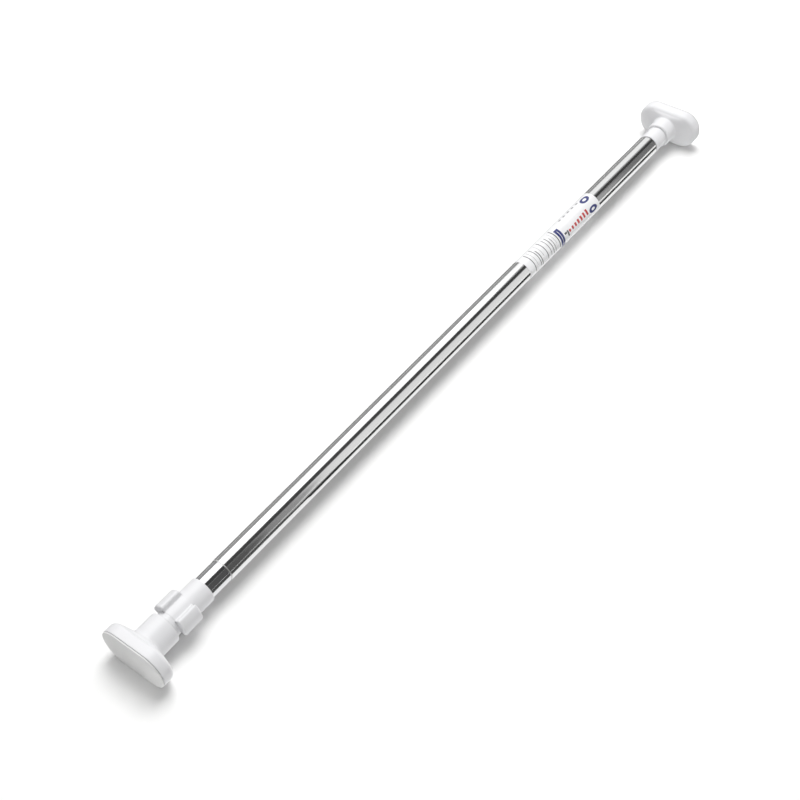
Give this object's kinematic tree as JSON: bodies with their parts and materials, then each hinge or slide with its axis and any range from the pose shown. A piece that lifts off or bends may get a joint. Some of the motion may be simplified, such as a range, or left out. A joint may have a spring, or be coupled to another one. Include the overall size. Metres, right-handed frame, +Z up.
{
  "type": "pull up bar",
  "caption": "Telescopic doorway pull up bar: twist-lock steel tubes, a lugged jack nut and swivelling flat feet that press on facing walls.",
  "frame": {"origin": "on the ground under the middle of the bar as it lies, halfway between the two pad faces", "axes": "+X along the bar from the jack end to the plain end, +Y along the long side of the feet, +Z up"},
  "size_m": [1.184, 0.096, 0.056],
  "materials": {
    "tube": "polished stainless steel",
    "label": "printed white film",
    "white_plastic": "moulded, semi gloss",
    "screw_plastic": "moulded, semi gloss",
    "inner_plastic": "moulded",
    "pad": "soft matt elastomer",
    "zinc": "zinc plated",
    "lock_metal": "die cast"
  },
  "bodies": {
    "outer": {"outer_tube": "tube", "label_wrap": "label", "far_plug": "white_plastic", "far_foot_washer": "zinc", "far_foot_screw": "zinc"},
    "far_foot": {"far_foot_shell": "white_plastic", "far_foot_pad": "pad"},
    "expander": {"lock_expander": "inner_plastic"},
    "cone": {"lock_cone": "lock_metal"},
    "inner": {"inner_tube": "tube", "tube_end_bush": "inner_plastic", "thrust_washer": "zinc", "lock_plug": "inner_plastic", "lock_stud": "zinc", "lock_stop_nut": "zinc"},
    "nut": {"jack_nut": "white_plastic"},
    "screw": {"jack_screw": "screw_plastic", "jack_stop_washer": "zinc", "jack_stop_screw": "zinc", "near_foot_washer": "zinc", "near_foot_screw": "zinc"},
    "near_foot": {"near_foot_shell": "white_plastic", "near_foot_pad": "pad"}
  },
  "joints": [
    {"name": "telescope_slide", "type": "slide", "parent": "outer", "child": "expander", "axis": [-1, 0, 0], "range_m": [-0.03, 0.7]},
    {"name": "lock_twist", "type": "hinge", "parent": "expander", "child": "inner", "pos_m": [0, 0, 0.028], "axis": [1, 0, 0], "range_deg": [0, 180]},
    {"name": "lock_cone_slide", "type": "slide", "parent": "expander", "child": "cone", "axis": [-1, 0, 0], "range_m": [0, 0.0011]},
    {"name": "jack_nut_turn", "type": "hinge", "parent": "inner", "child": "nut", "pos_m": [0, 0, 0.028], "axis": [1, 0, 0], "range_deg": [-450, 2700]},
    {"name": "jack_screw_slide", "type": "slide", "parent": "inner", "child": "screw", "axis": [-1, 0, 0], "range_m": [-0.0051, 0.0301]},
    {"name": "near_foot_swivel", "type": "hinge", "parent": "screw", "child": "near_foot", "pos_m": [0, 0, 0.028], "axis": [1, 0, 0], "continuous": true},
    {"name": "far_foot_swivel", "type": "hinge", "parent": "outer", "child": "far_foot", "pos_m": [0, 0, 0.028], "axis": [1, 0, 0], "continuous": true}
  ],
  "couplings": [
    {"joint": "lock_cone_slide", "follows": "lock_twist", "m_per_rad": 0.00031831},
    {"joint": "jack_screw_slide", "follows": "jack_nut_turn", "m_per_rad": 0.00063662}
  ]
}
